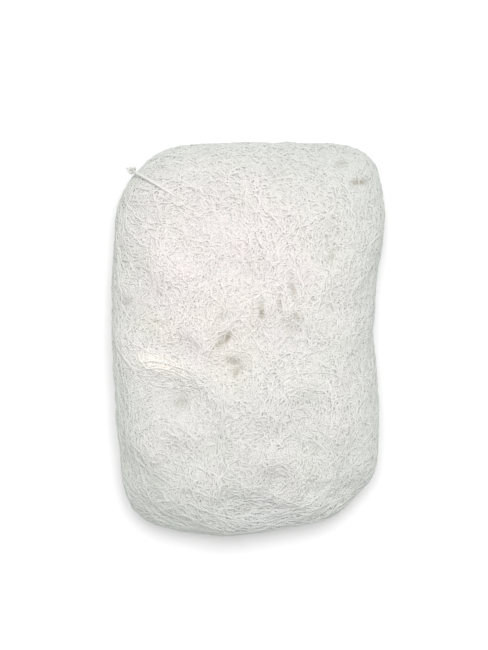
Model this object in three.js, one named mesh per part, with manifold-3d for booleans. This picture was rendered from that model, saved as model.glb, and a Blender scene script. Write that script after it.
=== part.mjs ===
// A trellis netting bundle: one long net of white knitted cord, gathered and wadded into a
// flat pillow with round corners. It lies on its back. One cord leaves it at a corner and
// ends in a small knot.
//
// Millimetres, +Z up. X runs across the bundle and Y along it. The origin is on the floor,
// under the middle of the bundle.

import * as THREE from "three";
import { mergeVertices } from "three/addons/utils/BufferGeometryUtils.js";
import Module from "manifold-3d";

const wasm = await Module();
wasm.setup();

// The pillow: its heights above the floor, how square its two halves are in section, and how
// far towards the rim its top and underside go before they turn into the flank.
const RIM_HEIGHT = 20;
const CROWN_HEIGHT = 48;
const UNDERSIDE_DEPTH = 27;
const UPPER_SQUARENESS = 2.5;
const LOWER_SQUARENESS = 3.4;
const SHOULDER_SHARE = 0.84;
const FLANK_RING = 0.999;

// Bunches stand on a pillow that is smaller than the bundle by this much. They take over from
// the flank's folds between these two heights.
const PADDING = 5;
const UPPER_SIDE_FROM = 18;
const UPPER_SIDE_FULL = 32;

// The space under the floor, which cuts the underside flat.
const FLOOR_WIDTH = 400;
const FLOOR_DEPTH = 60;

// The grid that covers it: steps across, along and up the flank.
const STEPS_ACROSS = 36;
const STEPS_ALONG = 52;
const STEPS_UP_FLANK = 12;
const MERGE_DISTANCE = 1e-4;

// The free end of the net's cord, and the overhand knot at its end: the knot's mean radius,
// its cord's radius, its flattening and its turn.
const CORD_DIAMETER = 1.6;
const CORD_SIDES = 8;
const CORD_STEPS = 10;
const KNOT_RADIUS = 1.5;
const KNOT_CORD_RADIUS = 0.65;
const KNOT_SCALE = { x: 1.1, y: 0.85, z: 1.1 };
const KNOT_TURN = 40;
const KNOT_STEPS = 48;
const KNOT_TILT = 25;
const KNOT_CENTRE = { x: -70.6, y: 102.6, z: 26.4 };

// The bundle's outline seen from above, anticlockwise from the right-hand side.
const OUTLINE = [
  { x: 77.5, y: 2 },
  { x: 79, y: 35 },
  { x: 83, y: 60 },
  { x: 83, y: 86 },
  { x: 77, y: 108 },
  { x: 62, y: 118 },
  { x: 10, y: 120 },
  { x: -30, y: 119 },
  { x: -53, y: 113.5 },
  { x: -67, y: 101 },
  { x: -78, y: 83 },
  { x: -81.5, y: 40 },
  { x: -82, y: 0 },
  { x: -80.5, y: -38 },
  { x: -76.5, y: -80 },
  { x: -70, y: -103 },
  { x: -54, y: -114.5 },
  { x: -16, y: -120 },
  { x: 24, y: -115.5 },
  { x: 46, y: -111 },
  { x: 61, y: -101.5 },
  { x: 77.5, y: -83 },
  { x: 81, y: -52 },
  { x: 79, y: -24 },
];
const OUTLINE_SAMPLES = 720;

// Bunches of gathered net that show on the upper side, as soft rolls: the line that each
// follows seen from above, half its width, and how far it stands proud.
const BUNCHES = [
  {
    name: "left_flank", halfWidth: 9, rise: 3.2,
    line: [[-72, -8], [-71, -48], [-62, -84], [-44, -104], [-18, -112]],
  },
  {
    name: "lower_left_whorl", halfWidth: 11, rise: 4.4,
    line: [[-60, -68], [-52, -54], [-37, -56], [-26, -72], [-24, -96]],
  },
  {
    name: "left_ridge", halfWidth: 8, rise: 4.8,
    line: [[-76, -2], [-56, -14], [-36, -17], [-20, -30], [-12, -52]],
  },
  {
    name: "left_shoulder", halfWidth: 14, rise: 4.2,
    line: [[-70, 66], [-52, 50], [-40, 32], [-44, 10]],
  },
  {
    name: "left_edge", halfWidth: 9, rise: 2.8,
    line: [[-74, 76], [-77, 40], [-76, 10]],
  },
  {
    name: "upper_left", halfWidth: 12, rise: 3.4,
    line: [[-62, 92], [-42, 88], [-20, 72], [-6, 50], [-14, 26]],
  },
  {
    name: "top_edge", halfWidth: 10, rise: 2.8,
    line: [[-52, 108], [-18, 113], [22, 112], [56, 108]],
  },
  {
    name: "upper_middle", halfWidth: 14, rise: 4.2,
    line: [[-30, 96], [0, 90], [18, 68], [16, 40], [4, 18]],
  },
  {
    name: "upper_right", halfWidth: 12, rise: 3.6,
    line: [[30, 100], [44, 84], [38, 60], [42, 36], [38, 14]],
  },
  {
    name: "right_shoulder", halfWidth: 10, rise: 3.8,
    line: [[62, 98], [62, 68], [60, 36], [62, 2], [61, -34]],
  },
  {
    name: "right_edge", halfWidth: 8, rise: 2.6,
    line: [[76, 88], [76, 40], [75, -10], [75, -56], [68, -88]],
  },
  {
    name: "centre", halfWidth: 10, rise: 3.6,
    line: [[14, 2], [6, -18], [4, -38], [-6, -60], [-8, -84]],
  },
  {
    name: "fold_loop", halfWidth: 9, rise: 5,
    line: [[16, -48], [24, -32], [38, -27], [50, -36], [52, -60], [46, -84]],
  },
  {
    name: "lower_middle", halfWidth: 9, rise: 4.4,
    line: [[2, -88], [10, -74], [24, -73], [32, -86], [22, -100]],
  },
  {
    name: "bottom_edge", halfWidth: 9, rise: 2.8,
    line: [[-34, -108], [-4, -113], [26, -111], [52, -99]],
  },
];
const BUNCH_SAMPLES = 40;
const CREASE_SOFTNESS = 0.7;

// Places where the net sinks between the bunches: centre, length and width, the direction
// of the long side in degrees from X, and depth.
const HOLLOWS = [
  { name: "centre_pit", x: -15, y: 0, length: 13, width: 9, turn: 60, depth: 6 },
  { name: "centre_slit", x: -6, y: -16, length: 12, width: 7, turn: -30, depth: 4.5 },
  { name: "left_slit", x: -35, y: -4, length: 17, width: 5, turn: -42, depth: 4 },
  { name: "left_furrow", x: -42, y: -10, length: 18, width: 6, turn: -8, depth: 3.5 },
  { name: "upright_slit", x: 11, y: 18, length: 20, width: 5, turn: 88, depth: 4 },
  { name: "second_upright_slit", x: 19, y: 21, length: 18, width: 5, turn: 84, depth: 4 },
  { name: "right_pit", x: 26, y: 8, length: 12, width: 9, turn: 40, depth: 5.5 },
  { name: "corner_pit", x: 67, y: 96, length: 12, width: 7, turn: 10, depth: 5 },
  { name: "corner_dimple", x: 57, y: 106, length: 8, width: 6, turn: 0, depth: 3 },
  { name: "shoulder_dimple", x: 50, y: 50, length: 14, width: 7, turn: 58, depth: 4 },
  { name: "left_dimple", x: -40, y: -38, length: 17, width: 12, turn: 20, depth: 4 },
  { name: "lower_left_furrow", x: -56, y: -90, length: 40, width: 8, turn: -58, depth: 3 },
  { name: "lower_furrow", x: 8, y: -104, length: 56, width: 8, turn: -4, depth: 3.5 },
  { name: "lower_right_furrow", x: 58, y: -96, length: 34, width: 8, turn: 45, depth: 3 },
];

// The folds that show on the flank, one above the other: their pitch, width and height, how
// much smaller the pillow is under them, and how they wander round it.
const FLANK_FOLD_PITCH = 12.5;
const FLANK_FOLD_HALF_SHARE = 0.55;
const FLANK_FOLD_RISE = 3.8;
const FLANK_PADDING = 3.4;
const FLANK_WANDER = 3.5;
const FLANK_WAVES = [
  { times: 3, share: 1, phase: 0.6 },
  { times: 7, share: 0.5, phase: 2.1 },
];

// Unevenness, most of it on the upper side: waves of net pushed together, with their length
// and height, and how much a wave's phase follows the height above the floor.
const FLANK_SWELL_SHARE = 0.3;
const SWELL_LEAN = 0.6;
const SWELLS = [
  { length: 61, height: 0.9, turn: 25, phase: 0.4 },
  { length: 43, height: 0.8, turn: 115, phase: 1.9 },
  { length: 29, height: 0.55, turn: 70, phase: 3.1 },
  { length: 21, height: 0.45, turn: 160, phase: 5.2 },
];

// The free cord: it comes up between two bunches, lies over the corner and sticks out past it.
const LOOSE_CORD_ROUTE = [
  { x: -42, y: 85, z: 39.7 },
  { x: -46, y: 87.6, z: 38.9 },
  { x: -50, y: 90, z: 37.5 },
  { x: -54, y: 92.6, z: 35.7 },
  { x: -58, y: 95, z: 33.6 },
  { x: -62, y: 97.5, z: 31 },
  { x: -65.5, y: 99.6, z: 28.9 },
  { x: -68.5, y: 101.3, z: 27.4 },
];

const NET = new THREE.MeshStandardMaterial({ color: 0xeae8e2, roughness: 0.8, metalness: 0 });
const LOOSE_CORD = new THREE.MeshStandardMaterial({ color: 0xf1efe6, roughness: 0.75, metalness: 0 });

// A geometry with places alone, where points at the same place are one.
function withoutSeams(geometry) {
  const bare = new THREE.BufferGeometry()
    .setAttribute("position", geometry.getAttribute("position"))
    .setIndex(geometry.index);
  return mergeVertices(bare, MERGE_DISTANCE);
}

// A geometry as a manifold-3d solid.
function solidOf(geometry) {
  const merged = withoutSeams(geometry);
  return new wasm.Manifold(
    new wasm.Mesh({
      numProp: 3,
      vertProperties: merged.attributes.position.array,
      triVerts: new Uint32Array(merged.index.array),
    }),
  );
}

// A manifold-3d solid as a geometry.
function geometryOf(solid) {
  const mesh = solid.getMesh();
  return new THREE.BufferGeometry()
    .setAttribute("position", new THREE.BufferAttribute(mesh.vertProperties, 3))
    .setIndex(new THREE.BufferAttribute(mesh.triVerts, 1));
}

// How far the outline is from the middle, in each direction.
function outlineReach() {
  const corners = OUTLINE.map(({ x, y }) => new THREE.Vector3(x, y, 0));
  const curve = new THREE.CatmullRomCurve3(corners, true, "centripetal");
  const samples = curve
    .getSpacedPoints(OUTLINE_SAMPLES)
    .slice(1)
    .map((p) => ({ angle: Math.atan2(p.y, p.x), reach: Math.hypot(p.x, p.y) }))
    .sort((a, b) => a.angle - b.angle);
  return (angle) => {
    const after = samples.findIndex((s) => s.angle > angle);
    const b = samples[after < 0 ? 0 : after];
    const a = samples.at((after < 0 ? samples.length : after) - 1);
    const span = (b.angle - a.angle + 2 * Math.PI) % (2 * Math.PI);
    const part = ((angle - a.angle + 2 * Math.PI) % (2 * Math.PI)) / span;
    return THREE.MathUtils.lerp(a.reach, b.reach, part);
  };
}

// The other coordinate of a superellipse: height from reach, or reach from height, as shares.
function acrossSection(share, squareness) {
  return (1 - Math.min(1, Math.abs(share)) ** squareness) ** (1 / squareness);
}

// A point of the smooth pillow for a point on the surface of a cube from -1 to 1, and the
// direction that it faces.
function pillowPoint(cube, reach) {
  const u = cube.x * Math.sqrt(1 - cube.y ** 2 / 2);
  const v = cube.y * Math.sqrt(1 - cube.x ** 2 / 2);
  const ring = Math.hypot(u, v);
  const angle = Math.atan2(v * STEPS_ALONG, u * STEPS_ACROSS);
  const upper = cube.z >= 0;
  const squareness = upper ? UPPER_SQUARENESS : LOWER_SQUARENESS;
  const halfHeight = upper ? CROWN_HEIGHT - RIM_HEIGHT : -UNDERSIDE_DEPTH;
  const onFlank = ring > FLANK_RING;
  const flankHeight = Math.abs(cube.z) * acrossSection(SHOULDER_SHARE, squareness);
  const share = onFlank ? acrossSection(flankHeight, squareness) : ring * SHOULDER_SHARE;
  const height = onFlank ? flankHeight : acrossSection(share, squareness);
  const r = share * reach(angle);
  const outward = share ** (squareness - 1) / reach(angle);
  const upward = height ** (squareness - 1) / halfHeight;
  return {
    place: new THREE.Vector3(r * Math.cos(angle), r * Math.sin(angle), RIM_HEIGHT + halfHeight * height),
    facing: new THREE.Vector3(outward * Math.cos(angle), outward * Math.sin(angle), upward).normalize(),
  };
}

// The height of a round roll at a distance from its middle line, as a share of its rise.
function rollSection(distance, halfWidth) {
  return Math.sqrt(Math.max(0, 1 - (distance / halfWidth) ** 2));
}

const bunchLines = BUNCHES.map(({ line }) => {
  const points = line.map(([x, y]) => new THREE.Vector3(x, y, 0));
  return new THREE.CatmullRomCurve3(points).getSpacedPoints(BUNCH_SAMPLES);
});

// How far the highest bunch over this place stands proud, with the creases between softened.
function bunchRise(p) {
  const total = BUNCHES.reduce((sum, { halfWidth, rise }, i) => {
    const distance = Math.min(...bunchLines[i].map((q) => Math.hypot(q.x - p.x, q.y - p.y)));
    return sum + Math.exp((rise * rollSection(distance, halfWidth)) / CREASE_SOFTNESS);
  }, 1);
  return CREASE_SOFTNESS * (Math.log(total) - Math.log(BUNCHES.length + 1));
}

// How far the hollows pull this place in.
function hollowDepth(p) {
  return HOLLOWS.reduce((sum, { x, y, length, width, turn, depth }) => {
    const along = new THREE.Vector2(p.x - x, p.y - y).rotateAround(
      new THREE.Vector2(),
      -THREE.MathUtils.degToRad(turn),
    );
    return sum + depth * Math.exp(-((along.x / (length / 2)) ** 2) - (along.y / (width / 2)) ** 2);
  }, 0);
}

// The folds on the flank, which run round it one above the other.
function flankRise(p) {
  const angle = Math.atan2(p.y, p.x);
  const wander = FLANK_WAVES.reduce((sum, w) => sum + w.share * Math.sin(w.times * angle + w.phase), 0);
  const fold = (p.z + FLANK_WANDER * wander) / FLANK_FOLD_PITCH;
  const fromMiddle = fold - Math.floor(fold) - 0.5;
  return FLANK_FOLD_RISE * rollSection(fromMiddle, FLANK_FOLD_HALF_SHARE);
}

function swell(p) {
  return SWELLS.reduce((sum, { length, height, turn, phase }) => {
    const a = THREE.MathUtils.degToRad(turn);
    const along = p.x * Math.cos(a) + p.y * Math.sin(a) + SWELL_LEAN * p.z;
    return sum + height * Math.sin((2 * Math.PI * along) / length + phase);
  }, 0);
}

// Cuts each four-sided cell of a grid along its shorter diagonal.
function cutAlongShorterDiagonals(grid) {
  const index = grid.index.array;
  const corners = grid.getAttribute("position");
  const corner = (i) => new THREE.Vector3().fromBufferAttribute(corners, i);
  for (let i = 0; i < index.length; i += 6) {
    const [a, b, d, , c] = index.slice(i, i + 6);
    if (corner(a).distanceTo(corner(c)) < corner(b).distanceTo(corner(d))) {
      index.set([a, b, c, a, c, d], i);
    }
  }
}

// The wadded net: the pillow with its bunches, hollows and folds, flat where it lies.
function netBundle() {
  const cube = new THREE.BoxGeometry(2, 2, 2, STEPS_ACROSS, STEPS_ALONG, STEPS_UP_FLANK);
  const pillow = withoutSeams(cube);
  const reach = outlineReach();
  const corners = pillow.getAttribute("position");
  const corner = new THREE.Vector3();
  for (let i = 0; i < corners.count; i++) {
    const { place, facing } = pillowPoint(corner.fromBufferAttribute(corners, i), reach);
    const onTop = THREE.MathUtils.smoothstep(place.z, UPPER_SIDE_FROM, UPPER_SIDE_FULL);
    const upperRise = bunchRise(place) - hollowDepth(place) - PADDING + swell(place);
    const sideRise = flankRise(place) - FLANK_PADDING + FLANK_SWELL_SHARE * swell(place);
    corner.copy(place).addScaledVector(facing, THREE.MathUtils.lerp(sideRise, upperRise, onTop));
    corners.setXYZ(i, corner.x, corner.y, corner.z);
  }
  cutAlongShorterDiagonals(pillow);
  const floor = new THREE.BoxGeometry(FLOOR_WIDTH, FLOOR_WIDTH, FLOOR_DEPTH);
  floor.translate(0, 0, -FLOOR_DEPTH / 2);
  const bundle = geometryOf(solidOf(pillow).subtract(solidOf(floor)));
  bundle.computeBoundingBox();
  const middle = bundle.boundingBox.getCenter(new THREE.Vector3());
  return bundle.translate(-middle.x, -middle.y, 0);
}

// The free cord: one round tube along its route.
function looseCord() {
  const points = LOOSE_CORD_ROUTE.map(({ x, y, z }) => new THREE.Vector3(x, y, z));
  const route = new THREE.CatmullRomCurve3(points);
  const section = new THREE.Shape().absarc(0, 0, CORD_DIAMETER / 2, 0, 2 * Math.PI);
  return new THREE.ExtrudeGeometry(section, {
    steps: CORD_STEPS,
    curveSegments: CORD_SIDES,
    extrudePath: route,
  });
}

// The overhand knot, pulled tight and lying askew at the cord's end.
function cordKnot() {
  const knot = new THREE.TorusKnotGeometry(KNOT_RADIUS, KNOT_CORD_RADIUS, KNOT_STEPS, CORD_SIDES);
  return withoutSeams(knot)
    .scale(KNOT_SCALE.x, KNOT_SCALE.y, KNOT_SCALE.z)
    .rotateZ(THREE.MathUtils.degToRad(KNOT_TURN))
    .rotateX(THREE.MathUtils.degToRad(KNOT_TILT));
}

const part = new THREE.Group();

const bundle = new THREE.Mesh(netBundle(), NET);
bundle.name = "netting_bundle";
part.add(bundle);

const cord = new THREE.Mesh(looseCord(), LOOSE_CORD);
cord.name = "loose_cord";
part.add(cord);

const knot = new THREE.Mesh(cordKnot(), LOOSE_CORD);
knot.name = "cord_knot";
knot.position.set(KNOT_CENTRE.x, KNOT_CENTRE.y, KNOT_CENTRE.z);
part.add(knot);

export default part;
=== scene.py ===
"""A trellis net wadded into a flat pillow. Curly knitted cord lies strand over strand on a soft
core, in bunches that follow the net's folds, and one knotted end comes out at a corner."""
import math

import bpy
import numpy as np
from mathutils import Matrix, Vector
from mathutils.bvhtree import BVHTree


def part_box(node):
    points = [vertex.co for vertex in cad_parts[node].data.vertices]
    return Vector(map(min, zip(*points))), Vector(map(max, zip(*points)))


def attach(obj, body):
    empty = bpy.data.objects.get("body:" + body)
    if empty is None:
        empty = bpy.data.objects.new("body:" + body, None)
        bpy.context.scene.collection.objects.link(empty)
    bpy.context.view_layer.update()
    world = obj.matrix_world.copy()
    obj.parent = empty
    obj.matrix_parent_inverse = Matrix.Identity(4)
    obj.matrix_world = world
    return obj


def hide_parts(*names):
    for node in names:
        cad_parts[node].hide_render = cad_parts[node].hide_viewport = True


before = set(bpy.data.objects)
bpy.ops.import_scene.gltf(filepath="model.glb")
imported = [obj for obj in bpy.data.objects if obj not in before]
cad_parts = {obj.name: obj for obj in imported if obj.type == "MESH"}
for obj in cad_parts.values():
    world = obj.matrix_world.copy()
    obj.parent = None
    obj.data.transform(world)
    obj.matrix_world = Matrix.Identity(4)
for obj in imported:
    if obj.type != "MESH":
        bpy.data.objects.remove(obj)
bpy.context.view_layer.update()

MM = 0.001
rng = np.random.default_rng(167)

# The core under the cords: how far it lies inside the net's solid, and how far its flanks
# then swell.
CORE_VOXEL = 2.4 * MM
CORE_INSET = 1.3 * MM
FLANK_SWELL = 1.0 * MM
CORE_SMOOTHINGS = 2

# The net's cord: half its width, half its thickness, how much they vary, and how the oval
# cord twists, in radians.
CORD_HALF_WIDTH = 0.6 * MM
CORD_HALF_THICKNESS = 0.48 * MM
CORD_SIZES = (0.88, 1.08)
CORD_SIDES = 4
CORD_TWIST = {"spread": 0.35, "turn": 0.5, "length": (8 * MM, 20 * MM)}

# Bunches of net that show on the upper side. The cords run along each line, seen from above
# in millimetres, and curl as much as its curl says, where 1 is the usual share.
BUNCHES = [
    {"name": "left_flank", "half_width": 12, "curl": 0.35,
     "line": [(-76, 0), (-74, -48), (-64, -86), (-46, -106), (-18, -115)]},
    {"name": "lower_left_whorl", "half_width": 11, "curl": 0.7,
     "line": [(-60, -68), (-52, -54), (-37, -56), (-26, -72), (-24, -96)]},
    {"name": "left_ridge", "half_width": 8, "curl": 0.8,
     "line": [(-76, -2), (-56, -14), (-36, -17), (-20, -30), (-12, -52)]},
    {"name": "left_shoulder", "half_width": 14, "curl": 1.1,
     "line": [(-70, 66), (-52, 50), (-40, 32), (-44, 10)]},
    {"name": "left_edge", "half_width": 9, "curl": 0.7,
     "line": [(-74, 76), (-77, 40), (-76, 10)]},
    {"name": "upper_left", "half_width": 12, "curl": 1.0,
     "line": [(-62, 92), (-42, 88), (-20, 72), (-6, 50), (-14, 26)]},
    {"name": "top_edge", "half_width": 10, "curl": 0.8,
     "line": [(-52, 108), (-18, 113), (22, 112), (56, 108)]},
    {"name": "upper_middle", "half_width": 14, "curl": 1.1,
     "line": [(-30, 96), (0, 90), (18, 68), (16, 40), (4, 18)]},
    {"name": "upper_right", "half_width": 12, "curl": 1.0,
     "line": [(30, 100), (44, 84), (38, 60), (42, 36), (38, 14)]},
    {"name": "right_shoulder", "half_width": 10, "curl": 0.9,
     "line": [(62, 98), (62, 68), (60, 36), (62, 2), (61, -34)]},
    {"name": "right_edge", "half_width": 8, "curl": 0.6,
     "line": [(76, 88), (76, 40), (75, -10), (75, -56), (68, -88)]},
    {"name": "centre", "half_width": 10, "curl": 1.0,
     "line": [(14, 2), (6, -18), (4, -38), (-6, -60), (-8, -84)]},
    {"name": "fold_loop", "half_width": 9, "curl": 0.7,
     "line": [(16, -48), (24, -32), (38, -27), (50, -36), (52, -60), (46, -84)]},
    {"name": "lower_middle", "half_width": 9, "curl": 0.8,
     "line": [(2, -88), (10, -74), (24, -73), (32, -86), (22, -100)]},
    {"name": "bottom_edge", "half_width": 9, "curl": 0.6,
     "line": [(-34, -108), (-4, -113), (26, -111), (52, -99)]},
]
BUNCH_STEPS = 40

# The grid that holds the way of the cords, and their way far from any bunch.
FLOW_CELL = 2 * MM
FLOW_MARGIN = 10 * MM
BACKGROUND_FLOW = {"turn": math.radians(78), "share": 0.04}

# Places where the net sinks between the bunches, in millimetres seen from above, with the
# direction of the long side in degrees from X, and how dark the painted shade in them is. Most
# of the upper cords stop at their edges. They are on the upper side alone, above the height
# that follows them.
HOLLOWS = [
    {"name": "centre_pit", "x": -12.5, "y": 1, "length": 10, "width": 3.6, "turn": 55, "shade": 1.2},
    {"name": "centre_side_pit", "x": -17, "y": -3, "length": 8, "width": 3.4, "turn": 58, "shade": 0.9},
    {"name": "centre_slit", "x": -9, "y": -13, "length": 8, "width": 3.2, "turn": -20, "shade": 0.9},
    {"name": "centre_low_slit", "x": -7, "y": -20, "length": 7, "width": 3, "turn": 62, "shade": 0.8},
    {"name": "centre_dimple", "x": -16, "y": 14, "length": 7, "width": 5, "turn": 20, "shade": 0.5},
    {"name": "left_slit", "x": -36, "y": -4.5, "length": 14, "width": 3, "turn": -42, "shade": 0.2},
    {"name": "upright_slit", "x": 8, "y": 17, "length": 11, "width": 3.4, "turn": 98, "shade": 1},
    {"name": "second_upright_slit", "x": 19, "y": 21, "length": 8, "width": 3, "turn": 88, "shade": 0.7},
    {"name": "third_upright_slit", "x": 27, "y": 30, "length": 13, "width": 3.5, "turn": 106, "shade": 0.7},
    {"name": "right_slit", "x": 30, "y": 13, "length": 8, "width": 2.8, "turn": -50, "shade": 0.6},
    {"name": "right_pit", "x": 26, "y": 5, "length": 9, "width": 5, "turn": 60, "shade": 0.3},
    {"name": "corner_pit", "x": 67, "y": 95, "length": 9, "width": 3.6, "turn": 10, "shade": 1.2},
    {"name": "corner_dimple", "x": 57, "y": 106, "length": 8, "width": 4, "turn": 0, "shade": 0.6},
    {"name": "shoulder_dimple", "x": 50, "y": 50, "length": 11, "width": 4, "turn": 58, "shade": 0.4},
    {"name": "left_dimple", "x": -40, "y": -38, "length": 10, "width": 7, "turn": 20, "shade": 0.5},
    {"name": "left_edge_pit", "x": -72, "y": 24, "length": 8, "width": 4, "turn": 0, "shade": 0.5},
    {"name": "bottom_pit", "x": -4, "y": -103, "length": 14, "width": 5, "turn": 20, "shade": 0.5},
]
HOLLOWS_FROM = 15 * MM

# Stretches of the net painted paler or darker, in millimetres seen from above, with a share for
# each of red, green and blue: a little darker and yellower round the centre pits, a little greyer
# right of the centre, a cream-toned painted highlight on the left ridge and above it, painted
# shade on the lower left and the bottom left, and painted light at the bottom right. Last, the
# palest that a tint or painted light may make the net.
TINTS_AND_PAINTED_LIGHT = [
    {"name": "round_the_centre_pits", "x": -15, "y": -8, "length": 40, "width": 20, "turn": -62,
     "tint_and_painted_light": (0.985, 0.977, 0.95)},
    {"name": "right_of_the_centre", "x": 4.5, "y": 14, "length": 26, "width": 16, "turn": 90,
     "tint_and_painted_light": (0.975, 0.975, 0.97)},
    # Painted highlight, cream-toned, on the left ridge and above it.
    {"name": "left_ridge", "x": -56, "y": -14.5, "length": 36, "width": 12, "turn": -12,
     "tint_and_painted_light": (1.16, 1.155, 1.115)},
    {"name": "left_ridge_upper", "x": -54, "y": 7, "length": 28, "width": 12, "turn": -35,
     "tint_and_painted_light": (1.06, 1.055, 1.02)},
    # Painted shade on the lower left flank, its corner and the bottom left.
    {"name": "lower_left_flank", "x": -72, "y": -70, "length": 70, "width": 18, "turn": -74,
     "tint_and_painted_light": (0.97, 0.975, 0.965)},
    {"name": "lower_left_corner", "x": -58.5, "y": -92, "length": 28, "width": 16, "turn": -50,
     "tint_and_painted_light": (0.91, 0.915, 0.91)},
    {"name": "bottom_left", "x": -26, "y": -107, "length": 30, "width": 12, "turn": -5,
     "tint_and_painted_light": (0.94, 0.95, 0.94)},
    # Painted light at the bottom right.
    {"name": "bottom_right", "x": 44, "y": -98, "length": 34, "width": 18, "turn": 35,
     "tint_and_painted_light": (1.035, 1.035, 1.035)},
]
HIGHEST_TINT = 0.98

# How the cords are laid, from the deepest kind to the topmost. A share of them crosses the
# bunches, and a share stops at the hollows, whose painted shade falls on them by their pit
# share. None goes on where the skin faces lower than the lowest facing, from 1 for up to -1 for
# down.
FAMILIES = [
    {"name": "net_cords_deep", "pieces": 1, "batches": 9, "step": 2.2 * MM, "shortest": 100 * MM,
     "longest": 260 * MM, "crossing_share": 0.5, "curl": 0.8, "lowest_facing": -1.1,
     "stopping_share": 0, "pit_share": 1},
    {"name": "net_cords_middle", "pieces": 2, "batches": 14, "step": 1.35 * MM, "shortest": 60 * MM,
     "longest": 220 * MM, "crossing_share": 0.6, "curl": 1.0, "lowest_facing": -0.45,
     "stopping_share": 0.4, "pit_share": 0.8},
    {"name": "net_cords_upper", "pieces": 2, "batches": 16, "step": 1.35 * MM, "shortest": 40 * MM,
     "longest": 180 * MM, "crossing_share": 0.4, "curl": 1.2, "lowest_facing": -0.45,
     "stopping_share": 0.85, "pit_share": 0.4},
    {"name": "net_cords_top", "pieces": 1, "batches": 9, "step": 1.6 * MM, "shortest": 40 * MM,
     "longest": 150 * MM, "crossing_share": 0.1, "curl": 0.5, "lowest_facing": -0.2,
     "stopping_share": 0.9, "pit_share": 0.2},
]
STRANDS_AT_ONCE = 24
STARTS_TRIED = 8
STARTS_SPARE = 3

# Straighter stretches of cord that lie on top, seen from above in millimetres.
TAUT_CORDS = [
    [(-14, 11), (-11, 6.7), (-8, 2.6), (-5.5, -0.6), (-4, -5)],
    [(6, 15), (7.7, 9.8), (10.5, 1.5), (13.1, -6.1), (13.5, -12)],
    [(1, 5), (4.3, -1.2), (7.8, -7.2), (11, -13.7), (15, -19)],
    [(12, -34), (17.7, -27.5), (28, -21.5), (39, -20), (49, -20.5), (54.3, -22.6), (59, -32), (61, -48),
     (60.4, -64), (57, -76)],
    [(-66, -14), (-56, -13), (-46, -15.5), (-34, -19.5), (-24, -27)],
    [(-64, -18), (-53, -17), (-43, -20), (-33, -25)],
]
TAUT_STEP = 1 * MM
TAUT_LIFT = 0.2
ABOVE_ALL = 100

# The waves in each cord: their length and how far the cord turns from its way, in radians.
WAVES = [
    {"length": (26 * MM, 60 * MM), "turn": (0.2, 0.7)},
    {"length": (11 * MM, 18 * MM), "turn": (0.3, 0.8)},
    {"length": (5 * MM, 8 * MM), "turn": (0.4, 1.15)},
]
CROSSING_CURL = 0.8

# How far cords lie off their bunch's way, how fast they turn to it and to the skin, and how
# far up the skin still faces where they start and end to turn round the rim.
WAY_SPREAD = 0.55
FOLLOW_SHARE = 0.25
NORMAL_SHARE = 0.4
RIM_FACINGS = (0.85, 0.5)

# The pile of cords on the core, as heights in small cells around the core's surface. A cord
# rests on the pile at some shares of its half width, and raises it at others.
PILE_CELL = 0.6 * MM
PILE_MARGIN = 4 * MM
PILE_TOP = 3.0 * MM
RESTS_AT = (-0.55, 0, 0.55)
RAISES_AT = (-0.9, -0.45, 0, 0.45, 0.9)

# How a cord lies on the pile: how steeply it climbs, how far its middle is lifted, in half
# thicknesses, where less than 0 sinks it in, and how its ends are tucked under.
STEEPEST_CLIMB = 0.8
LIFT = -0.4
TUCK_LENGTH = 4 * MM
TUCK_DEPTH = 1.8 * MM

# The loose cord, its knot, which is a trefoil, and the tail past the knot, as in the part's
# source. The cord's first stretch lies between the net's cords.
LOOSE_CORD_ROUTE = [
    (-41.4, 84.6, 36.8), (-46, 87.6, 36.6), (-50, 90, 36.3), (-54, 92.6, 35.4),
    (-58, 95, 33.6), (-62, 97.5, 31), (-65.5, 99.6, 28.9), (-68.5, 101.3, 27.4),
]
LOOSE_CORD_DIAMETER = 1.6 * MM
# The loose cord's tone, a little deeper than the palest: painted shade, as the cord lies above its
# neighbours and takes no shade from them.
LOOSE_CORD_SHADED_TONE = 0.3
LOOSE_CORD_STEPS = 60
LOOSE_CORD_SIDES = 16
OFF_THE_CORD = (0.3, 0.5, 0.1)
KNOT_CENTRE = Vector((-70.6, 102.6, 26.4)) * MM
KNOT_RADIUS = 1.5 * MM
KNOT_CORD_RADIUS = 0.65 * MM
KNOT_SCALE = (1.1, 0.85, 1.1)
KNOT_TURN = math.radians(40)
KNOT_TILT = math.radians(25)
KNOT_WAVES = 1.5
KNOT_STEPS = 160
KNOT_GAP = 0.15
TAIL_STEPS = 12
TAIL_ROUTE = [(-71.6, 103, 26.6), (-72.8, 103.6, 26.2), (-74, 103.9, 25.3)]

# Colours of the cords: pale and deeper strands; painted shade on the rim, darker and greener
# lower down, and the heights between which it grows; painted light, paler and warmer round a
# place on the upper middle, and painted shade, darker and cooler, farther off; broad cream and
# rosy patches; and the painted shade in the hollows.
PALE = (0.95, 0.945, 0.915, 1)
SHADE = (0.9, 0.89, 0.85, 1)
TONE_SHARE = 0.6
TONE_PATCHES = {"Scale": 38, "Detail": 3}
TONE_PATCH_SHARE = 0.5
# Painted shade, darker and greener, low on the rim.
RIM_SHADE = (0.79, 0.835, 0.82, 1)
RIM_SHADE_TOP = 44 * MM
RIM_SHADE_FLOOR = 18 * MM
# Painted light, paler and warmer, round a place on the upper middle, and painted shade, darker and cooler,
# farther off.
PAINTED_LIGHT = (0.98, 0.957, 0.988, 1)
PAINTED_FAR_SHADE = (0.895, 0.91, 0.93, 1)
PAINTED_LIGHT_PLACE = (-22 * MM, 45 * MM, 44 * MM)
PAINTED_LIGHT_REACH = 95 * MM
CREAM = (1, 0.986, 0.954, 1)
ROSE = (1, 0.972, 0.967, 1)
BROAD_PATCHES = {"Scale": 30, "Detail": 2}
BROAD_PATCH_EDGES = (0.36, 0.64)
# Painted shade in the hollows.
PIT_SHADE_COLOUR = (0.56, 0.53, 0.465, 1)

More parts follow.
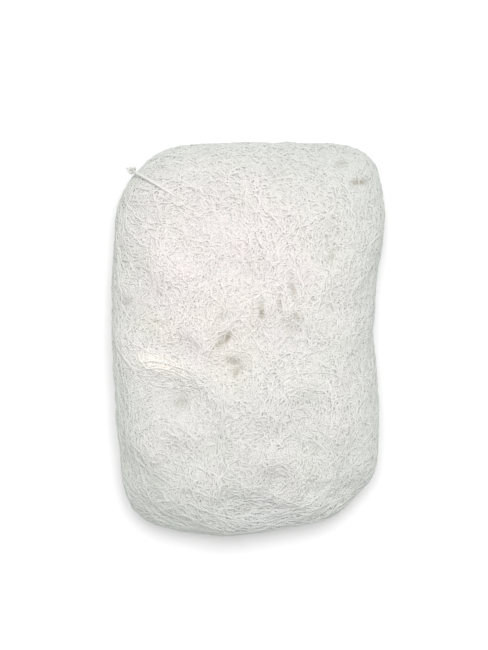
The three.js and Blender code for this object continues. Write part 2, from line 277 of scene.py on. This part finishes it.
# The knit: V-shaped stitches in rows along the cord, how far each V leans, how round its
# stitches are, the slits between the rows, and how dark the painted shade in the gaps is.
STITCH_LENGTH = 1.7 * MM
STITCH_ROWS = 3
STITCH_LEAN = 1.1
STITCH_ROUNDING = 0.7
STITCH_SHADE = 0.16
SLIT_STEEPNESS = 7
SLIT_BLEND = 0.4
CORD_BUMP = {"Strength": 0.35, "Distance": 0.25 * MM}
CORD_SURFACE = {"Roughness": 0.8, "Specular IOR Level": 0.3, "Sheen Weight": 0.15, "Sheen Roughness": 0.5}

# The deeper layers, as small round cords with painted shade in the gaps between them, all
# painted a little darker than the cords on top, as shade.
DEPTH_PALE = (0.9, 0.885, 0.86, 1)
DEPTH_SHADE = (0.66, 0.645, 0.62, 1)
DEPTH_BENDS = {"Scale": 90, "Detail": 2}
DEPTH_BEND = 0.012
DEPTH_CORDS = {"Scale": 560}
DEPTH_CORD_EDGES = (0.75, 0.1)
DEPTH_BUMP = {"Strength": 0.8, "Distance": 0.8 * MM}
DEPTH_SURFACE = {"Roughness": 0.85}

# The stage, the light and the camera. The photo is 488 by 650 pixels.
FLOOR_HALF = 3.0
FLOOR_SURFACE = {"Base Color": (0.95, 0.95, 0.95, 1), "Roughness": 0.9}
WORLD_STRENGTH = 0.565
KEY_PLACE = (0.08, 0.55, 1.75)
KEY_SIZE = 1.5
KEY_WATTS = 28
DIFFUSE_BOUNCES = 10
MM_PER_PIXEL = 0.61
PHOTO_WIDTH, PHOTO_HEIGHT = 488, 650
WAD_CENTRE_PIXEL = (248, 339)
WAD_MIDDLE_HEIGHT = 22 * MM
CAMERA_DISTANCE = 1.2
SENSOR = 36.0

# Steps between two points of a smooth line, the least length that a direction is divided by,
# what settles a tie between two ways, and the sockets of a colour mix.
SPLINE_STEPS = 24
LEAST_LENGTH = 1e-12
TIE = 1e-9
MIX_FACTOR, MIX_FIRST, MIX_SECOND, MIX_RESULT = 0, 6, 7, 2


def link(name, mesh, material):
    """A new object of that mesh in the scene, with that material."""
    piece = bpy.data.objects.new(name, mesh)
    bpy.context.scene.collection.objects.link(piece)
    piece.data.materials.clear()
    piece.data.materials.append(material)
    return piece


def unit(vectors):
    """The vectors, each with a length of 1."""
    lengths = np.linalg.norm(vectors, axis=-1, keepdims=True)
    return vectors / np.maximum(lengths, LEAST_LENGTH)


def spline(points, count):
    """Evenly spread places on a smooth line through the points."""
    points = np.asarray(points, float)
    padded = np.vstack([2 * points[0] - points[1], points, 2 * points[-1] - points[-2]])
    spans = []
    shares = np.linspace(0, 1, SPLINE_STEPS, endpoint=False)[:, None]
    for a, b, c, d in zip(padded, padded[1:], padded[2:], padded[3:]):
        spans.append(0.5 * (2 * b + (c - a) * shares + (2 * a - 5 * b + 4 * c - d) * shares**2
                            + (3 * b - a - 3 * c + d) * shares**3))
    line = np.vstack([*spans, points[-1:]])
    along = np.concatenate([[0], np.cumsum(np.linalg.norm(np.diff(line, axis=0), axis=1))])
    even = np.linspace(0, along[-1], count)
    return np.stack([np.interp(even, along, axis) for axis in line.T], axis=1)


# Materials

class Nodes:
    """A new material, and the nodes that are added to it."""

    def __init__(self, name, surface):
        self.material = bpy.data.materials.new(name)
        self.material.use_nodes = True
        self.tree = self.material.node_tree
        self.shader = self.tree.nodes["Principled BSDF"]
        for socket, value in surface.items():
            self.shader.inputs[socket].default_value = value

    def add(self, kind, inputs=(), **settings):
        """A new node, with each input joined to a socket or set to a value."""
        node = self.tree.nodes.new(kind)
        for name, value in settings.items():
            setattr(node, name, value)
        for socket, value in dict(inputs).items():
            if isinstance(value, bpy.types.NodeSocket):
                self.tree.links.new(value, node.inputs[socket])
            else:
                node.inputs[socket].default_value = value
        return node

    def math(self, operation, *values):
        """The result of an operation on numbers."""
        return self.add("ShaderNodeMath", enumerate(values), operation=operation).outputs[0]

    def vector(self, operation, *values):
        """The result of an operation on directions or colours."""
        return self.add("ShaderNodeVectorMath", enumerate(values), operation=operation).outputs[0]

    def mix(self, factor, first, second, blend="MIX"):
        """Two colours, mixed or blended by the factor."""
        return self.add("ShaderNodeMix", {MIX_FACTOR: factor, MIX_FIRST: first, MIX_SECOND: second},
                        data_type="RGBA", blend_type=blend).outputs[MIX_RESULT]

    def ranged(self, value, start, end):
        """How far the value is on its way from start to end, from 0 to 1."""
        return self.add("ShaderNodeMapRange", {0: value, 1: start, 2: end}).outputs[0]

    def attribute(self, name, output="Fac"):
        """An attribute of the mesh."""
        return self.add("ShaderNodeAttribute", attribute_name=name).outputs[output]

    def place(self):
        """Where on the piece the colour is, in metres."""
        return self.add("ShaderNodeTexCoord").outputs["Object"]

    def noise(self, place, settings, output="Fac"):
        """Soft random patches."""
        return self.add("ShaderNodeTexNoise", {"Vector": place, **settings}).outputs[output]

    def finish(self, colour, height, bump):
        """The material, with this colour and with a bump of this height."""
        raised = self.add("ShaderNodeBump", {"Height": height, **bump}).outputs[0]
        self.tree.links.new(colour, self.shader.inputs["Base Color"])
        self.tree.links.new(raised, self.shader.inputs["Normal"])
        return self.material


def knit_height(nodes):
    """Rows of V-shaped stitches along a cord, from 0 between them to 1."""
    split = nodes.add("ShaderNodeSeparateXYZ", {0: nodes.attribute("stitch", "Vector")})
    along = nodes.math("DIVIDE", split.outputs[0], STITCH_LENGTH)
    angle = nodes.math("ARCTAN2", split.outputs[2], split.outputs[1])
    row = nodes.math("MULTIPLY", angle, STITCH_ROWS / math.tau)
    across = nodes.math("PINGPONG", row, 0.5)
    chevron = nodes.math("ADD", along, nodes.math("MULTIPLY", across, STITCH_LEAN))
    ridge = nodes.math("COSINE", nodes.math("MULTIPLY", chevron, math.tau))
    ridge = nodes.math("ADD", nodes.math("MULTIPLY", ridge, 0.5), 0.5)
    slit = nodes.math("SMOOTH_MIN", nodes.math("MULTIPLY", across, SLIT_STEEPNESS), 1, SLIT_BLEND)
    return nodes.math("MULTIPLY", nodes.math("POWER", ridge, STITCH_ROUNDING), slit)


def rim_shaded(nodes, colour, place):
    """The colour with painted shade: darker and greener the lower it lies on the rim."""
    height = nodes.add("ShaderNodeSeparateXYZ", {0: place}).outputs[2]
    low = nodes.ranged(height, RIM_SHADE_TOP, RIM_SHADE_FLOOR)
    return nodes.mix(low, colour, RIM_SHADE, "MULTIPLY")


def shaded(nodes, colour):
    """The colour, with painted shade in the hollows, multiplied by the tints and the painted light
    and shade of the listed stretches, and no paler than the palest allowed.
    """
    colour = nodes.mix(nodes.attribute("painted_pit_shade"), colour, PIT_SHADE_COLOUR, "MULTIPLY")
    colour = nodes.vector("MULTIPLY", colour, nodes.attribute("tint_and_painted_light", "Vector"))
    return nodes.vector("MINIMUM", colour, (HIGHEST_TINT,) * 3)


def cord_material():
    """Matte knitted cord: paler and deeper strands in broad patches, with painted light, paler and
    warmer, round the upper middle and painted shade, darker and cooler, farther off and low on the
    rim, and painted shade in the hollows and in the gaps between its stitches."""
    nodes = Nodes("netting", CORD_SURFACE)
    place = nodes.place()
    tone = nodes.math("MULTIPLY", nodes.attribute("tone"), TONE_SHARE)
    patches = nodes.math("MULTIPLY", nodes.noise(place, TONE_PATCHES), TONE_PATCH_SHARE)
    colour = nodes.mix(nodes.math("ADD", tone, patches), SHADE, PALE)
    # Painted shade low on the rim.
    colour = rim_shaded(nodes, colour, place)
    # Painted light round the upper middle, painted shade farther off.
    away = nodes.add("ShaderNodeVectorMath", {0: place, 1: PAINTED_LIGHT_PLACE}, operation="DISTANCE")
    lit = nodes.ranged(away.outputs["Value"], PAINTED_LIGHT_REACH, PAINTED_LIGHT_REACH / 3)
    colour = nodes.mix(1, colour, nodes.mix(lit, PAINTED_FAR_SHADE, PAINTED_LIGHT), "MULTIPLY")
    broad = nodes.ranged(nodes.noise(place, BROAD_PATCHES), *BROAD_PATCH_EDGES)
    colour = nodes.mix(1, colour, nodes.mix(broad, CREAM, ROSE), "MULTIPLY")
    # Painted shade in the hollows, and the tints and painted light and shade of the listed stretches.
    colour = shaded(nodes, colour)
    height = knit_height(nodes)
    # Painted shade in the gaps between the stitches.
    dark = nodes.math("MULTIPLY", nodes.math("SUBTRACT", 1, height), STITCH_SHADE)
    gap = nodes.math("SUBTRACT", 1, dark)
    gap_shade = nodes.add("ShaderNodeCombineColor", {0: gap, 1: gap, 2: gap}).outputs[0]
    return nodes.finish(nodes.mix(1, colour, gap_shade, "MULTIPLY"), height, CORD_BUMP)


def core_material():
    """Deeper layers of the same net, seen only through the gaps between the cords, with painted
    shade between their small cords, in the hollows and low on the rim.
    """
    nodes = Nodes("netting_depth", DEPTH_SURFACE)
    place = nodes.place()
    bends = nodes.vector("MULTIPLY", nodes.noise(place, DEPTH_BENDS, "Color"), (DEPTH_BEND,) * 3)
    bent = nodes.vector("ADD", bends, place)
    cords = nodes.add("ShaderNodeTexVoronoi", {"Vector": bent, **DEPTH_CORDS}, feature="F1")
    height = nodes.ranged(cords.outputs["Distance"], *DEPTH_CORD_EDGES)
    # Painted shade in the gaps between the small cords, then in the hollows and the listed stretches.
    colour = shaded(nodes, nodes.mix(height, DEPTH_SHADE, DEPTH_PALE))
    # Painted shade low on the rim.
    return nodes.finish(rim_shaded(nodes, colour, place), height, DEPTH_BUMP)


NET_MATERIAL = cord_material()
CORE_MATERIAL = core_material()


# The core

def apply_modifiers(piece):
    """Works the piece's modifiers into its mesh."""
    evaluated = piece.evaluated_get(bpy.context.evaluated_depsgraph_get())
    mesh = bpy.data.meshes.new_from_object(evaluated)
    piece.modifiers.clear()
    piece.data = mesh


def net_core():
    """A smooth copy of the net's solid, drawn in by the depth of the cords that lie on it, with
    flanks that swell a little."""
    piece = link("net_core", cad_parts["netting_bundle"].data.copy(), CORE_MATERIAL)
    remesh = piece.modifiers.new("Remesh", "REMESH")
    remesh.mode = "VOXEL"
    remesh.voxel_size = CORE_VOXEL
    remesh.use_smooth_shade = True
    smooth = piece.modifiers.new("Smooth", "SMOOTH")
    smooth.iterations = CORE_SMOOTHINGS
    inset = piece.modifiers.new("Inset", "DISPLACE")
    inset.strength = -CORE_INSET
    inset.mid_level = 0
    last = piece.modifiers.new("Smooth again", "SMOOTH")
    last.iterations = CORE_SMOOTHINGS
    apply_modifiers(piece)
    mesh = piece.data
    places = np.empty((len(mesh.vertices), 3))
    facings = np.empty_like(places)
    mesh.vertices.foreach_get("co", places.ravel())
    mesh.vertex_normals.foreach_get("vector", facings.ravel())
    outward = facings[:, :2]
    places[:, :2] += FLANK_SWELL * np.linalg.norm(outward, axis=1, keepdims=True) * outward
    mesh.vertices.foreach_set("co", places.ravel())
    mesh.update()
    mesh.materials.clear()
    mesh.materials.append(CORE_MATERIAL)
    add_shading(mesh, places)
    return piece


class Surface:
    """The core's skin: places picked on it, and the nearest place on it to a point."""

    def __init__(self, mesh):
        mesh.calc_loop_triangles()
        places = np.empty(len(mesh.vertices) * 3)
        mesh.vertices.foreach_get("co", places)
        corners = np.empty(len(mesh.loop_triangles) * 3, int)
        mesh.loop_triangles.foreach_get("vertices", corners)
        self.corners = places.reshape(-1, 3)[corners.reshape(-1, 3)]
        across = np.cross(self.corners[:, 1] - self.corners[:, 0],
                          self.corners[:, 2] - self.corners[:, 0])
        self.shares = np.cumsum(np.linalg.norm(across, axis=1))
        self.shares /= self.shares[-1]
        self.facings = unit(across)
        self.tree = BVHTree.FromPolygons([Vector(p) for p in places.reshape(-1, 3)],
                                         corners.reshape(-1, 3).tolist())

    def pick(self, count):
        """Places spread evenly at random, and the directions that they face."""
        picked = np.searchsorted(self.shares, rng.random(count))
        a, b = np.sqrt(rng.random((count, 1))), rng.random((count, 1))
        p, q, r = self.corners[picked].transpose(1, 0, 2)
        return (1 - a) * p + a * (1 - b) * q + a * b * r, self.facings[picked]

    def nearest(self, points):
        """The nearest places on the skin to the points, and the directions that they face."""
        found = [self.tree.find_nearest(Vector(p))[:2] for p in points]
        return np.array([f[0][:] for f in found]), np.array([f[1][:] for f in found])

    def below(self, points):
        """The places on the skin straight below the points, and the directions that they face."""
        found = [self.tree.ray_cast(Vector(p), Vector((0, 0, -1)))[:2] for p in points]
        return np.array([f[0][:] for f in found]), np.array([f[1][:] for f in found])


# The way that the cords run

class Flow:
    """The direction and the curl of the cords over the floor plan, from the bunches."""

    def __init__(self, low, high):
        self.low = np.array(low[:2]) - FLOW_MARGIN
        counts = np.ceil((np.array(high[:2]) + FLOW_MARGIN - self.low) / FLOW_CELL).astype(int)
        xs = self.low[0] + (np.arange(counts[0]) + 0.5) * FLOW_CELL
        ys = self.low[1] + (np.arange(counts[1]) + 0.5) * FLOW_CELL
        cells = np.stack(np.meshgrid(xs, ys, indexing="ij"), axis=-1)
        turn = BACKGROUND_FLOW["turn"]
        weight = np.full(cells.shape[:2], BACKGROUND_FLOW["share"])
        double = weight[..., None] * np.array([math.cos(2 * turn), math.sin(2 * turn)])
        curl = weight.copy()
        for bunch in BUNCHES:
            line = spline(np.array(bunch["line"]) * MM, BUNCH_STEPS)
            ways = unit(np.gradient(line, axis=0))
            for place, way in zip(line, ways):
                distance = np.linalg.norm(cells - place, axis=-1)
                share = np.exp(-(distance / (bunch["half_width"] * MM)) ** 2)
                weight += share
                curl += share * bunch["curl"]
                double += share[..., None] * [way[0] ** 2 - way[1] ** 2, 2 * way[0] * way[1]]
        angle = 0.5 * np.arctan2(double[..., 1], double[..., 0])
        self.way = np.stack([np.cos(angle), np.sin(angle), np.zeros_like(angle)], axis=-1)
        self.curl = curl / weight

    def at(self, places):
        """The cords' way and curl at the places."""
        cell = ((places[:, :2] - self.low) / FLOW_CELL).astype(int)
        cell = np.clip(cell, 0, np.array(self.curl.shape) - 1)
        return self.way[cell[:, 0], cell[:, 1]], self.curl[cell[:, 0], cell[:, 1]]


def off_centre(places, oval):
    """How far each place is from the oval's centre, where 1 is at its edge."""
    turn = math.radians(oval["turn"])
    east = places[:, 0] / MM - oval["x"]
    north = places[:, 1] / MM - oval["y"]
    along = east * math.cos(turn) + north * math.sin(turn)
    across = north * math.cos(turn) - east * math.sin(turn)
    return np.hypot(along / (oval["length"] / 2), across / (oval["width"] / 2))


def in_hollow(places):
    """Whether each place lies in one of the hollows, seen from above."""
    inside = np.any([off_centre(places, hollow) < 1 for hollow in HOLLOWS], axis=0)
    return inside & (places[:, 2] > HOLLOWS_FROM)


def pit_shade(places):
    """How much painted shade each place takes from the hollow that it lies in."""
    shades = [hollow["shade"] * np.exp(-off_centre(places, hollow) ** 2) for hollow in HOLLOWS]
    return np.max(shades, axis=0) * (places[:, 2] > HOLLOWS_FROM)


def tint_and_painted_light_at(places):
    """The tint and painted light and shade of the net at each place."""
    tints = np.ones((len(places), 3))
    for stretch in TINTS_AND_PAINTED_LIGHT:
        share = np.exp(-off_centre(places, stretch) ** 2)
        tints *= 1 + share[:, None] * (np.array(stretch["tint_and_painted_light"]) - 1)
    return tints


def along_skin(ways, facings):
    """The directions, laid into the skin."""
    return unit(ways - np.sum(ways * facings, axis=1, keepdims=True) * facings)


def kept_running(ways, before):
    """The ways, turned about where they run against the way before."""
    return ways * np.sign(np.sum(ways * before, axis=1, keepdims=True) + TIE)


def natural_way(flow, places, facings, before):
    """The way of the bunch on the upper side and round the rim on the flank, kept running the
    way it ran before."""
    way, curl = flow.at(places)
    rim = np.cross([0, 0, 1.0], facings)
    start, end = RIM_FACINGS
    flank = np.clip((start - np.abs(facings[:, 2:])) / (start - end), 0, 1)
    way = kept_running(way, before)
    rim = kept_running(rim, before)
    return along_skin(way * (1 - flank) + unit(rim) * flank, facings), curl


def waves_of(count):
    """Lengths, turns and phases of the waves in so many cords."""
    drawn = []
    for wave in WAVES:
        length = rng.uniform(*wave["length"], count)
        drawn.append((length, rng.uniform(*wave["turn"], count), rng.uniform(0, math.tau, count)))
    return drawn


def walk(surface, flow, starts, facings, family):
    """The lines that cords take over the skin from these starts."""
    count = len(starts)
    steps = int(family["longest"] / family["step"])
    lengths = rng.uniform(family["shortest"], family["longest"], count)
    crossing = rng.random(count) < family["crossing_share"]
    stopping = rng.random(count) < family["stopping_share"]
    before = along_skin(rng.normal(size=(count, 3)), facings)
    offset = np.where(crossing, 0, rng.normal(0, WAY_SPREAD, count))
    waves = waves_of(count)
    places, lines, ups = starts, [], []
    for k in range(steps):
        lines.append(places)
        ups.append(facings)
        natural, curl = natural_way(flow, places, facings, before)
        follow = np.where(crossing, 0, FOLLOW_SHARE)[:, None]
        before = along_skin((1 - follow) * before + follow * natural, facings)
        way = offset.copy()
        for length, turn, phase in waves:
            strength = turn * family["curl"] * np.where(crossing, CROSSING_CURL, 1) * curl
            way += strength * np.sin(math.tau * k * family["step"] / length + phase)
        side = np.cross(facings, before)
        heading = before * np.cos(way)[:, None] + side * np.sin(way)[:, None]
        places, faced = surface.nearest(places + heading * family["step"])
        facings = unit((1 - NORMAL_SHARE) * facings + NORMAL_SHARE * faced)
    lines, ups = np.array(lines).transpose(1, 0, 2), np.array(ups).transpose(1, 0, 2)
    for line, up, length, stops in zip(lines, ups, lengths, stopping):
        kept = min(int(length / family["step"]), steps)
        too_low = up[:kept, 2] < family["lowest_facing"]
        sunk = np.flatnonzero(too_low | (in_hollow(line[:kept]) & stops))
        kept = sunk[0] if len(sunk) else kept
        if kept * family["step"] > family["shortest"] / 2:
            yield line[:kept], up[:kept]


# The pile

class Pile:
    """How high the cords already lie on the skin."""

    def __init__(self, low, high):
        self.low = np.array(low) - PILE_MARGIN
        counts = np.ceil((np.array(high) + PILE_MARGIN - self.low) / PILE_CELL).astype(int)
        self.heights = np.zeros(counts, np.float32)

    def cells(self, places):
        """The cells that hold the places."""
        cell = ((places - self.low) / PILE_CELL).astype(int)
        cell = np.clip(cell, 0, np.array(self.heights.shape) - 1)
        return tuple(np.moveaxis(cell, -1, 0))

    def height(self, places):
        """The pile's height at the places."""
        return self.heights[self.cells(places)]

    def add(self, places, ups, sides, levels):
        """Raises the pile under a cord whose middle lies at these levels above the skin."""
        for share in RAISES_AT:
            top = levels + CORD_HALF_THICKNESS * math.sqrt(1 - share**2)
            for rise in (-PILE_CELL, 0, PILE_CELL):
                where = places + sides * (share * CORD_HALF_WIDTH) + ups * rise
                np.maximum.at(self.heights, self.cells(where), top.astype(np.float32))


def smoothed(values, times):
    """Values along a cord, evened out, with both ends kept."""
    values = values.copy()
    for _ in range(times):
        values[1:-1] = (values[:-2] + 2 * values[1:-1] + values[2:]) / 4
    return values


def tuck(count, step):
    """How deep a cord's two ends go under their neighbours."""
    from_end = np.minimum(np.arange(count), np.arange(count)[::-1]) * step
    share = np.clip(1 - from_end / TUCK_LENGTH, 0, 1)
    return TUCK_DEPTH * share**2 * (3 - 2 * share)


def lay(pile, line, ups, step, lift=LIFT):
    """The middle line of a cord that lies on the pile along this line. It climbs and falls no
    steeper than a cord bends, and slips in between the others where the pile is full."""
    ups = unit(smoothed(ups, 3))
    ways = unit(np.gradient(line, axis=0))
    sides = unit(np.cross(ups, ways))
    support = np.mean([pile.height(line + sides * (s * CORD_HALF_WIDTH)) for s in RESTS_AT], axis=0)
    level = support + CORD_HALF_THICKNESS * lift
    along = np.arange(len(line)) * step * STEEPEST_CLIMB
    rising = np.maximum.accumulate(level + along) - along
    falling = np.maximum.accumulate((level - along)[::-1])[::-1] + along
    level = smoothed(np.minimum(np.maximum(rising, falling), PILE_TOP), 2)
    level -= tuck(len(line), step)
    pile.add(line, ups, sides, level)
    pile.add(*[(values[1:] + values[:-1]) / 2 for values in (line, ups, sides, level)])
    laid = line + ups * level[:, None]
    laid[:, 2] = np.maximum(laid[:, 2], CORD_HALF_WIDTH)
    return laid, ups


# Cords as meshes

def tube(line, ups, sides, half_width, half_thickness, twist):
    """The points of a closed tube of oval section along a line, its faces, and how far along
    and where round the cord each point is."""
    ways = unit(np.gradient(line, axis=0))
    side = unit(np.cross(ups, ways))
    up = np.cross(ways, side)
    turned_side = side * np.cos(twist)[:, None] + up * np.sin(twist)[:, None]
    turned_up = up * np.cos(twist)[:, None] - side * np.sin(twist)[:, None]
    angles = np.arange(sides) * math.tau / sides
    rings = (line[:, None]
             + turned_side[:, None] * (half_width * np.cos(angles))[None, :, None]
             + turned_up[:, None] * (half_thickness * np.sin(angles))[None, :, None])
    count = len(line)
    points = np.vstack([rings.reshape(-1, 3), line[:1], line[-1:]])
    along = np.concatenate([[0], np.cumsum(np.linalg.norm(np.diff(line, axis=0), axis=1))])
    stitch = np.zeros((len(points), 3))
    stitch[:-2, 0] = np.repeat(along, sides)
    stitch[-1, 0] = along[-1]
    stitch[:-2, 1] = np.tile(np.cos(angles), count)
    stitch[:-2, 2] = np.tile(np.sin(angles), count)
    ring, corner = np.meshgrid(np.arange(count - 1), np.arange(sides), indexing="ij")
    after = (corner + 1) % sides
    quads = np.stack([ring * sides + corner, ring * sides + after,
                      (ring + 1) * sides + after, (ring + 1) * sides + corner], axis=-1)
    first, last = count * sides, count * sides + 1
    around, next_round = np.arange(sides), (np.arange(sides) + 1) % sides
    end = (count - 1) * sides
    caps = np.vstack([np.stack([np.full(sides, first), next_round, around], axis=1),
                      np.stack([np.full(sides, last), end + around, end + next_round], axis=1)])
    return points, quads.reshape(-1, 4), caps, stitch


def add_shading(mesh, points, pit_share=1):
    """The attributes that paint shade into the hollows, by this share, and that paint tints, light
    and shade on stretches of the net.
    """
    painted_pit_shade = mesh.attributes.new("painted_pit_shade", "FLOAT", "POINT")
    painted_pit_shade.data.foreach_set("value", pit_share * pit_shade(points))
    tint_and_painted_light = mesh.attributes.new("tint_and_painted_light", "FLOAT_VECTOR", "POINT")
    tint_and_painted_light.data.foreach_set("vector", tint_and_painted_light_at(points).ravel())


def joined_mesh(name, tubes, tones, pit_share=0):
    """One mesh of many tubes, with the attributes that the cord's material reads."""
    starts = np.cumsum([0] + [len(points) for points, _, _, _ in tubes])
    points = np.vstack([t[0] for t in tubes])
    quads = np.vstack([t[1] + start for t, start in zip(tubes, starts)])
    caps = np.vstack([t[2] + start for t, start in zip(tubes, starts)])
    mesh = bpy.data.meshes.new(name)
    mesh.vertices.add(len(points))
    mesh.vertices.foreach_set("co", points.ravel())
    corners = np.concatenate([quads.ravel(), caps.ravel()])
    mesh.loops.add(len(corners))
    mesh.loops.foreach_set("vertex_index", corners)
    begins = np.concatenate([np.arange(len(quads)) * 4, quads.size + np.arange(len(caps)) * 3])
    mesh.polygons.add(len(begins))
    mesh.polygons.foreach_set("loop_start", begins)
    stitch = mesh.attributes.new("stitch", "FLOAT_VECTOR", "POINT")
    stitch.data.foreach_set("vector", np.vstack([t[3] for t in tubes]).ravel())
    tone = mesh.attributes.new("tone", "FLOAT", "POINT")
    tone.data.foreach_set("value", np.repeat(tones, np.diff(starts)))
    add_shading(mesh, points, pit_share)
    mesh.update(calc_edges=True)
    mesh.shade_smooth()
    return mesh


def cord_tube(line, ups, step):
    """A net cord's tube along a laid line, a little twisted, in a size of its own."""
    turns = np.arange(len(line)) * step * math.tau / rng.uniform(*CORD_TWIST["length"])
    twist = rng.normal(0, CORD_TWIST["spread"]) + CORD_TWIST["turn"] * np.sin(turns)
    size = rng.uniform(*CORD_SIZES)
    return tube(line, ups, CORD_SIDES, CORD_HALF_WIDTH * size, CORD_HALF_THICKNESS * size, twist)


def low_starts(surface, pile, family):
    """Places to start cords from, each the lowest on the pile of a few tried."""
    places, facings = surface.pick(STRANDS_AT_ONCE * STARTS_TRIED * STARTS_SPARE)
    in_pit = in_hollow(places) & (family["stopping_share"] > 0)
    fitting = (facings[:, 2] > family["lowest_facing"]) & ~in_pit
    places, facings = places[fitting], facings[fitting]
    strands = min(len(places) // STARTS_TRIED, STRANDS_AT_ONCE)
    heights = pile.height(places[:strands * STARTS_TRIED]).reshape(strands, STARTS_TRIED)
    lowest = heights.argmin(axis=1) + np.arange(strands) * STARTS_TRIED
    return places[lowest], facings[lowest]


def net_cords(name, surface, flow, pile, family):
    """One piece of the net's cords, laid on the pile in batches."""
    tubes = []
    for _ in range(family["batches"]):
        for line, ups in walk(surface, flow, *low_starts(surface, pile, family), family):
            tubes.append(cord_tube(*lay(pile, line, ups, family["step"]), family["step"]))
    mesh = joined_mesh(name, tubes, rng.random(len(tubes)), family["pit_share"])
    return link(name, mesh, NET_MATERIAL)


def taut_cords(surface, pile):
    """The straighter cords that lie on top of the others."""
    tubes = []
    for route in TAUT_CORDS:
        points = np.array([(x, y, ABOVE_ALL) for x, y in route]) * MM
        length = np.linalg.norm(np.diff(points, axis=0), axis=1).sum()
        line, ups = surface.below(spline(points, max(4, int(length / TAUT_STEP))))
        tubes.append(cord_tube(*lay(pile, line, ups, TAUT_STEP, TAUT_LIFT), TAUT_STEP))
    # The taut cords all take the palest tone: painted light on the cords that lie on top.
    return link("taut_cords", joined_mesh("taut_cords", tubes, np.ones(len(tubes))), NET_MATERIAL)


def round_tube(name, line, radius):
    """A round cord along a line, as a piece of its own."""
    ups = unit(np.cross(np.gradient(line, axis=0), OFF_THE_CORD))
    cord = tube(line, ups, LOOSE_CORD_SIDES, radius, radius, np.zeros(len(line)))
    return link(name, joined_mesh(name, [cord], [LOOSE_CORD_SHADED_TONE]), NET_MATERIAL)


def knot_line():
    """The middle line of the trefoil."""
    turn = np.linspace(KNOT_GAP, 2 * math.tau - KNOT_GAP, KNOT_STEPS)
    out = KNOT_RADIUS * (2 + np.cos(KNOT_WAVES * turn)) / 2
    rise = KNOT_RADIUS * np.sin(KNOT_WAVES * turn) / 2
    line = np.stack([out * np.cos(turn), out * np.sin(turn), rise], axis=1)
    place = (Matrix.Translation(KNOT_CENTRE) @ Matrix.Rotation(KNOT_TILT, 4, "X")
             @ Matrix.Rotation(KNOT_TURN, 4, "Z") @ Matrix.Diagonal((*KNOT_SCALE, 1)))
    return np.array([(place @ Vector(p))[:] for p in line])


core = net_core()
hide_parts("netting_bundle")
skin = Surface(core.data)
low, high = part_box("netting_bundle")
flow = Flow(low, high)
pile = Pile(low, high)
net = [core]
for family in FAMILIES:
    for number in range(1, family["pieces"] + 1):
        net.append(net_cords(f"{family['name']}_{number}", skin, flow, pile, family))
net.append(taut_cords(skin, pile))
for piece in net:
    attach(piece, "root")

loose_cord_line = spline(np.array(LOOSE_CORD_ROUTE) * MM, LOOSE_CORD_STEPS)
loose_cord = round_tube("loose_net_cord", loose_cord_line, LOOSE_CORD_DIAMETER / 2)
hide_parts("loose_cord")
knot = round_tube("loose_cord_end_knot", knot_line(), KNOT_CORD_RADIUS)
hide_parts("cord_knot")
tail = round_tube("knot_tail", spline(np.array(TAIL_ROUTE) * MM, TAIL_STEPS), KNOT_CORD_RADIUS)
for piece in (loose_cord, knot, tail):
    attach(piece, "root")


def stage():
    """A plain white floor."""
    mesh = bpy.data.meshes.new("floor")
    corners = [(-1, -1), (1, -1), (1, 1), (-1, 1)]
    mesh.from_pydata([(x * FLOOR_HALF, y * FLOOR_HALF, 0) for x, y in corners], [], [(0, 1, 2, 3)])
    link("floor", mesh, Nodes("floor", FLOOR_SURFACE).material)


def area_light(name, place, size, watts):
    """A square light that faces the net."""
    light = bpy.data.lights.new(name, "AREA")
    light.size = size
    light.energy = watts
    lamp = bpy.data.objects.new(name, light)
    lamp.location = place
    lamp.rotation_euler = (-Vector(place)).to_track_quat("-Z", "Y").to_euler()
    bpy.context.scene.collection.objects.link(lamp)


def light_and_camera():
    """Soft light from all round and a little more from the top of the picture, and a camera
    straight above."""
    scene = bpy.context.scene
    world = bpy.data.worlds.new("studio")
    scene.world = world
    world.use_nodes = True
    world.node_tree.nodes["Background"].inputs["Color"].default_value = (1, 1, 1, 1)
    world.node_tree.nodes["Background"].inputs["Strength"].default_value = WORLD_STRENGTH
    area_light("key", KEY_PLACE, KEY_SIZE, KEY_WATTS)
    scene.view_settings.view_transform = "Standard"
    scene.cycles.diffuse_bounces = DIFFUSE_BOUNCES
    data = bpy.data.cameras.new("camera")
    data.sensor_fit = "VERTICAL"
    data.sensor_height = SENSOR
    frame_height = PHOTO_HEIGHT * MM_PER_PIXEL * MM
    data.lens = SENSOR * CAMERA_DISTANCE / frame_height
    camera = bpy.data.objects.new("camera", data)
    across = (PHOTO_WIDTH / 2 - WAD_CENTRE_PIXEL[0]) * MM_PER_PIXEL * MM
    along = (WAD_CENTRE_PIXEL[1] - PHOTO_HEIGHT / 2) * MM_PER_PIXEL * MM
    camera.location = (across, along, WAD_MIDDLE_HEIGHT + CAMERA_DISTANCE)
    scene.collection.objects.link(camera)
    scene.camera = camera


stage()
light_and_camera()
